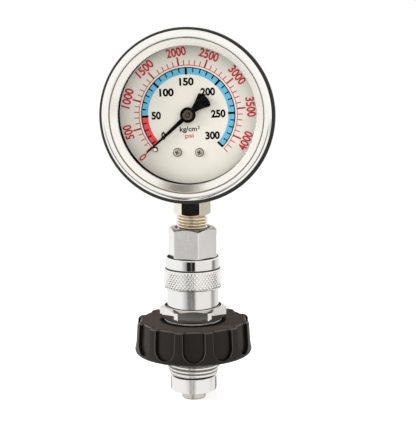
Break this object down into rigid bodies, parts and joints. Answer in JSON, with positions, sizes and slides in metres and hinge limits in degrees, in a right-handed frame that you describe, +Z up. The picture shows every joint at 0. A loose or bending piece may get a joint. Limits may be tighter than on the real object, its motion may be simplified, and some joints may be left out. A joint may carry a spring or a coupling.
{
  "type": "cylinder pressure test gauge",
  "caption": "Dial pressure gauge on a quick-release coupling with a fluted handwheel and a valve thread, for testing the pressure in a gas cylinder.",
  "frame": {"origin": "on the axis of the valve thread, at the lower end of its full diameter", "axes": "+Z up the stack to the dial, -Y the way the dial faces, +X to the reader's right"},
  "size_m": [0.073, 0.0514, 0.162],
  "materials": {
    "case_black": "satin black paint on steel",
    "bezel_steel": "turned satin stainless steel",
    "window_clear": "clear",
    "seal_rubber": "matt black",
    "dial_face": "off-white enamel",
    "screw_steel": "plain",
    "pointer_black": "black lacquer",
    "movement_brass": "plain",
    "spring_bronze": "plain",
    "stem_nickel": "nickel plated, warm tone",
    "washer_copper": "soft copper",
    "chrome_plate": "bright chrome plate",
    "wheel_plastic": "satin black moulding",
    "filter_bronze": "sintered"
  },
  "bodies": {
    "socket": {"socket_body": "chrome_plate", "socket_oring": "seal_rubber", "locking_balls": "screw_steel", "sleeve_spring": "screw_steel", "snap_ring": "screw_steel", "thrust_washer": "chrome_plate", "nose_retainer": "chrome_plate", "retainer_oring": "seal_rubber", "face_oring": "seal_rubber", "inlet_filter": "filter_bronze", "filter_clip": "screw_steel"},
    "wheel": {"handwheel": "wheel_plastic", "threaded_insert": "chrome_plate"},
    "sleeve": {"release_sleeve": "chrome_plate"},
    "gauge": {"case": "case_black", "bezel": "bezel_steel", "bevel_ring": "bezel_steel", "window": "window_clear", "window_seal": "seal_rubber", "dial": "dial_face", "dial_screws": "screw_steel", "stop_pin": "screw_steel", "movement_rear_plate": "movement_brass", "movement_front_plate": "movement_brass", "movement_pillars": "movement_brass", "movement_screws": "screw_steel", "bourdon_tube": "spring_bronze", "gauge_stem": "stem_nickel", "stem_bush": "seal_rubber", "fill_plug": "seal_rubber", "plug_adapter": "chrome_plate", "adapter_washer": "washer_copper"},
    "sector": {"sector_gear": "movement_brass", "sector_arbor": "screw_steel", "link_pin": "screw_steel"},
    "needle": {"pointer": "pointer_black", "pointer_hub": "movement_brass", "pinion_arbor": "movement_brass", "hairspring": "spring_bronze"},
    "connecting_link": {"link": "screw_steel"},
    "tip": {"tube_tip": "movement_brass", "tip_pin": "screw_steel"}
  },
  "joints": [
    {"name": "handwheel_spin", "type": "hinge", "parent": "socket", "child": "wheel", "pos_m": [0, 0, 0], "axis": [0, 0, 1], "continuous": true},
    {"name": "sleeve_slide", "type": "slide", "parent": "socket", "child": "sleeve", "axis": [0, 0, -1], "range_m": [0, 0.0028], "stiffness_N_per_m": 1500, "springref_m": -0.003, "deforming": ["sleeve_spring"]},
    {"name": "gauge_swivel", "type": "hinge", "parent": "socket", "child": "gauge", "pos_m": [0, 0, 0], "axis": [0, 0, 1], "continuous": true},
    {"name": "sector_turn", "type": "hinge", "parent": "gauge", "child": "sector", "pos_m": [0.0045, 0, 0.10135], "axis": [0, -1, 0], "range_deg": [0, 33.25], "stiffness_Nm_per_rad": 0.02, "deforming": ["bourdon_tube", "hairspring"]},
    {"name": "pointer_turn", "type": "hinge", "parent": "gauge", "child": "needle", "pos_m": [0, 0, 0.11185], "axis": [0, 1, 0], "range_deg": [0, 266]},
    {"name": "link_turn", "type": "hinge", "parent": "sector", "child": "connecting_link", "pos_m": [0.00978, 0, 0.09889], "axis": [0, 1, 0], "range_deg": [0, 33.25]},
    {"name": "tip_move", "type": "slide", "parent": "gauge", "child": "tip", "axis": [0.1457, 0, 0.9893], "range_m": [0, 0.00334]}
  ],
  "couplings": [
    {"joint": "pointer_turn", "follows": "sector_turn", "ratio": 8},
    {"joint": "link_turn", "follows": "sector_turn", "ratio": 1},
    {"joint": "tip_move", "follows": "sector_turn", "m_per_rad": 0.0057485}
  ]
}
